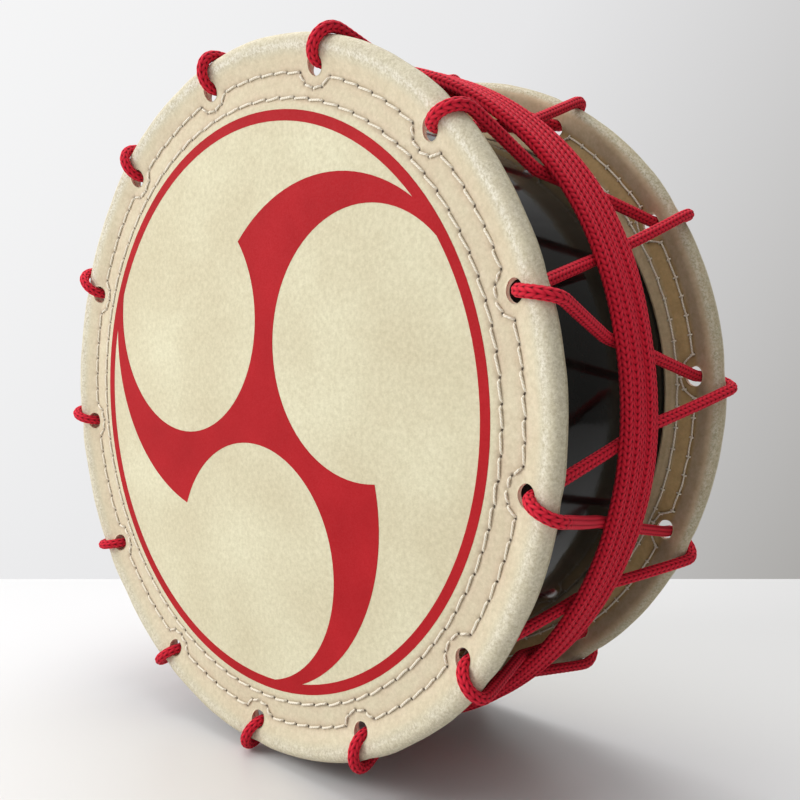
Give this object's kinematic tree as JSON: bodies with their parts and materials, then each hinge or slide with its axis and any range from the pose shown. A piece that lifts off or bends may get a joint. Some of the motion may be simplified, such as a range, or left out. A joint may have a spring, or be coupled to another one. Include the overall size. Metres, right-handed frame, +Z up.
{
  "type": "rope-laced drum",
  "caption": "Shallow rope-laced tub drum: black stave shell, two stitched hide heads on steel hoops, red lacing rope and a rope wrap around the waist.",
  "frame": {"origin": "on the ground at the middle of the drum's box, straight below the middle of its axis", "axes": "+Y along the drum's axis from the painted front head to the rear head, +Z up, +X to the right as seen from the front"},
  "size_m": [0.4662, 0.1986, 0.468],
  "materials": {
    "black_lacquer": "glossy black lacquer",
    "cream_hide": "matt raw hide with fine grain",
    "hoop_steel": "plain rod",
    "cream_thread": "twisted waxed thread",
    "red_paint": "matt paint on hide",
    "red_rope": "braided cord"
  },
  "bodies": {
    "shell": {"stave_01": "black_lacquer", "stave_02": "black_lacquer", "stave_03": "black_lacquer", "stave_04": "black_lacquer", "stave_05": "black_lacquer", "stave_06": "black_lacquer", "stave_07": "black_lacquer", "stave_08": "black_lacquer", "stave_09": "black_lacquer", "stave_10": "black_lacquer", "stave_11": "black_lacquer", "stave_12": "black_lacquer", "stave_13": "black_lacquer", "stave_14": "black_lacquer", "stave_15": "black_lacquer", "stave_16": "black_lacquer", "stave_17": "black_lacquer", "stave_18": "black_lacquer", "stave_19": "black_lacquer", "stave_20": "black_lacquer", "waist_rope": "red_rope", "waist_hitch": "red_rope", "lacing_runs": "red_rope"},
    "front_head": {"front_hide": "cream_hide", "front_hoop": "hoop_steel", "front_inner_stitching": "cream_thread", "front_outer_stitching": "cream_thread", "front_painted_figure": "red_paint", "front_lacing_loops": "red_rope"},
    "rear_head": {"rear_hide": "cream_hide", "rear_hoop": "hoop_steel", "rear_inner_stitching": "cream_thread", "rear_outer_stitching": "cream_thread", "rear_lacing_loops": "red_rope"}
  },
  "joints": [
    {"name": "front_head_tension", "type": "slide", "parent": "shell", "child": "front_head", "axis": [0, -1, 0], "range_m": [0, 0.004], "deforming": ["lacing_runs"]},
    {"name": "rear_head_tension", "type": "slide", "parent": "shell", "child": "rear_head", "axis": [0, 1, 0], "range_m": [0, 0.004], "deforming": ["lacing_runs"]}
  ],
  "couplings": [
    {"joint": "rear_head_tension", "follows": "front_head_tension", "ratio": 1}
  ]
}
